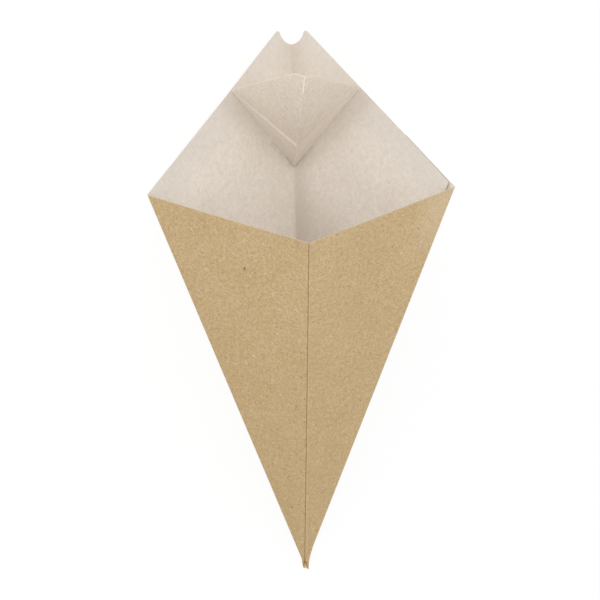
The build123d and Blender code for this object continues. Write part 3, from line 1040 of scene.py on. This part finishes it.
def pocket_board(face_height):
    """The pocket's paper, with painted highlights on its folds and painted light on its band, a crack at the
    middle, streaks and scratches.
    """
    skin = Lining("cream_board", POCKET_SHADES)
    across, up = skin.separate(skin.flat)[:2]
    from_fold = skin.node("ShaderNodeAttribute", {"attribute_name": "from_fold"}, None, "Fac")
    wobble = skin.noise(skin.flat, 3.0) * 0.5
    uneven = 0.85 + skin.grain * 1.4
    on_right = skin.step(across, -3.0, 3.0)

    # Streaks, longer on the right face
    along = across * (0.8 - on_right * 0.38)
    streaks = skin.noise(skin.combine(along, up, 3.0), 1.5, detail=3.0, rough=0.65, warp=0.6)
    skin.tint(skin.step(streaks, 0.03, 0.26) * 0.42, CREAMS["rubbed and highlight"])
    skin.tint(skin.step(streaks, -0.03, -0.26) * 0.42, CREAMS["dark streak"])

    # The band below the bend, lightened with painted light, and painted highlights along both folds
    on_band = skin.step(from_fold, 0.0, 1.0) * skin.step(up, 0.4, -0.6)
    skin.tint(on_band * 0.4, CREAMS["rubbed and highlight"])
    thin_bend, wide_bend = skin.line(up, 0.9, 0.8) * 0.65, skin.line(up, 1.7, 0.8) * on_right
    bend = skin.maths("MAXIMUM", thin_bend, wide_bend) * uneven
    above_bottom = skin.step(skin.absolute(across), 5.0, 12.0)
    valley = skin.line(from_fold - 0.5, 2.6, 0.6) * uneven * above_bottom
    skin.tint(bend, CREAMS["rubbed and highlight"])
    skin.tint(valley * (1.0 - on_right * 0.4), CREAMS["fold highlight"])

    # The crack down from the top edge, forked at its start
    crack_end, fork_start = face_height - 12.6, face_height - 1.4
    crack = skin.line(across + wobble, 0.95) * skin.step(up, crack_end, crack_end + 0.8)
    fork = skin.line(skin.absolute(across) * 0.8 - (up - fork_start), 0.5, 0.7)
    crack = skin.maths("MAXIMUM", crack, fork * skin.step(up, fork_start, fork_start + 0.1))
    skin.tint(crack * 0.8, CREAMS["crack"])

    # The faint crease down the middle of the face, and scratches
    on_face = skin.step(up, 0.0, 3.0)
    middle = across + wobble * 1.4
    skin.tint(skin.line(middle, 0.6, 0.9) * on_face * 0.2, CREAMS["rubbed and highlight"])
    skin.tint(skin.line(middle - 0.7, 0.8, 0.9) * on_face * 0.25, CREAMS["dim line"])
    for start, end, strength in POCKET_SCRATCHES:
        skin.tint(skin.scratch(start, end, 0.6) * strength, CREAMS["rubbed and highlight"])
    skin.height = skin.height + crack * 1.5 + bend * 0.5 + streaks
    return skin.done()


class CutEdge(Finish):
    """The board's cut edge, in thin layers of paler fibre."""

    def __init__(self, name, shades):
        super().__init__(name, gloss=0.25)
        place = self.node("ShaderNodeTexCoord", None, None, "Object") * (1 / MM)
        self.fibres = self.noise(place, 0.5, detail=3.0, rough=0.6)
        self.start(0.5 + self.fibres * 1.6, *shades)

    def done(self):
        return self.finished(0.85 + self.fibres * 0.1, self.fibres, depth=0.05)


def brown_edge():
    """The cone's cut edge, with brown stain at the worn tip and painted grey shade on the flap's edge."""
    edge = CutEdge("brown_cut_edge", BROWN_EDGE_SHADES)
    edge.tint(edge.step(edge.length(edge.flat), 9.0, 6.0) * 0.75, EDGE_STAIN)
    # The flap's cut edge is greyed with painted shade, as it lies in the gap's shadow
    edge.tint(edge.step(edge.from_crease(1), 0.3, 1.5) * 0.6, EDGE_FLAP_SHADE)
    return edge.done()


def cream_edge():
    """The pocket's cut edge, dull in patches and more so on the right face."""
    edge = CutEdge("cream_cut_edge", CREAM_EDGE_SHADES)
    on_right = edge.step(edge.separate(edge.flat)[0], 1.0, 4.0)
    patches = edge.step(edge.noise(edge.flat, 2.6, detail=1.0), -0.12, 0.16)
    edge.tint((1 - patches) * (on_right * 0.5 + 0.35), EDGE_DULL)
    return edge.done()


# Floor, light and camera

def seen_directly(graph):
    """1 for rays from the camera, or through a mirror or glass, else 0."""
    rays = graph.node("ShaderNodeLightPath", None, None, "all")
    seen = {ray.socket.name: ray for ray in rays}
    shown = graph.maths("MAXIMUM", seen["Is Camera Ray"], seen["Is Glossy Ray"])
    return graph.maths("MAXIMUM", shown, seen["Is Transmission Ray"])


def make_floor():
    """A round pale floor that looks white and keeps the cone's soft shadow."""
    place = (0, 0, FLOOR_LEVEL)
    bpy.ops.mesh.primitive_circle_add(vertices=96, radius=FLOOR_RADIUS, fill_type="NGON", location=place)
    floor = bpy.context.object
    floor.name = "floor"
    material = bpy.data.materials.new("pale_floor")
    material.use_nodes = True
    graph = Graph(material.node_tree)
    place = graph.node("ShaderNodeTexCoord", None, None, "Object")
    far = graph.step(graph.length(place), *FLOOR_WHITENS)
    share = seen_directly(graph) * (FLOOR_WHITE + far * (1 - FLOOR_WHITE))
    plain = graph.node("ShaderNodeBsdfDiffuse", None, {"Color": (*[FLOOR_SHADE] * 3, 1.0)})
    white = graph.node("ShaderNodeEmission", None, {"Color": (1.0, 1.0, 1.0, 1.0), "Strength": 1.0})
    mixed = graph.node("ShaderNodeMixShader", None, {0: share, 1: plain, 2: white})
    graph.node("ShaderNodeOutputMaterial", None, {"Surface": mixed}, "all")
    floor.data.materials.append(material)


def make_world():
    """Even light from all round. The world itself looks white."""
    world = bpy.data.worlds.new("studio")
    bpy.context.scene.world = world
    world.use_nodes = True
    graph = Graph(world.node_tree)
    strength = WORLD_LIGHT + seen_directly(graph) * (1 - WORLD_LIGHT)
    light = graph.node("ShaderNodeBackground", None, {"Color": (1.0, 1.0, 1.0, 1.0), "Strength": strength})
    graph.node("ShaderNodeOutputWorld", None, {"Surface": light}, "all")


def make_lamp():
    """A soft square lamp that shines at the cone."""
    light = bpy.data.lights.new("key", "AREA")
    light.energy, light.size = KEY_POWER, KEY_SIZE
    lamp = new_object("key", light)
    lamp.location = KEY_PLACE
    lamp.rotation_euler = (CONE_MIDDLE - lamp.location).to_track_quat("-Z", "Y").to_euler()


def make_camera():
    lens = bpy.data.cameras.new("camera")
    lens.sensor_width, lens.lens = 36.0, CAMERA_LENS
    lens.clip_start, lens.clip_end = 0.05, 20.0
    camera = new_object("camera", lens)
    camera.location = CAMERA_PLACE
    camera.rotation_euler = [radians(turn) for turn in CAMERA_TURNS]
    bpy.context.scene.camera = camera


# The cone, the pocket, and what they lie on

cone = make_cone([brown_board(), cone_lining(), brown_edge()])
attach(cone, "root")
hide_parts("paper_cone")

pocket, face_height = make_pocket()
pocket_paper = pocket_board(face_height)
for finish in (pocket_paper, pocket_paper, cream_edge()):
    pocket.data.materials.append(finish)
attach(pocket, "root")
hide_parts("dip_pocket")

make_floor()
make_world()
make_lamp()
make_camera()
bpy.context.scene.view_settings.view_transform = "Standard"
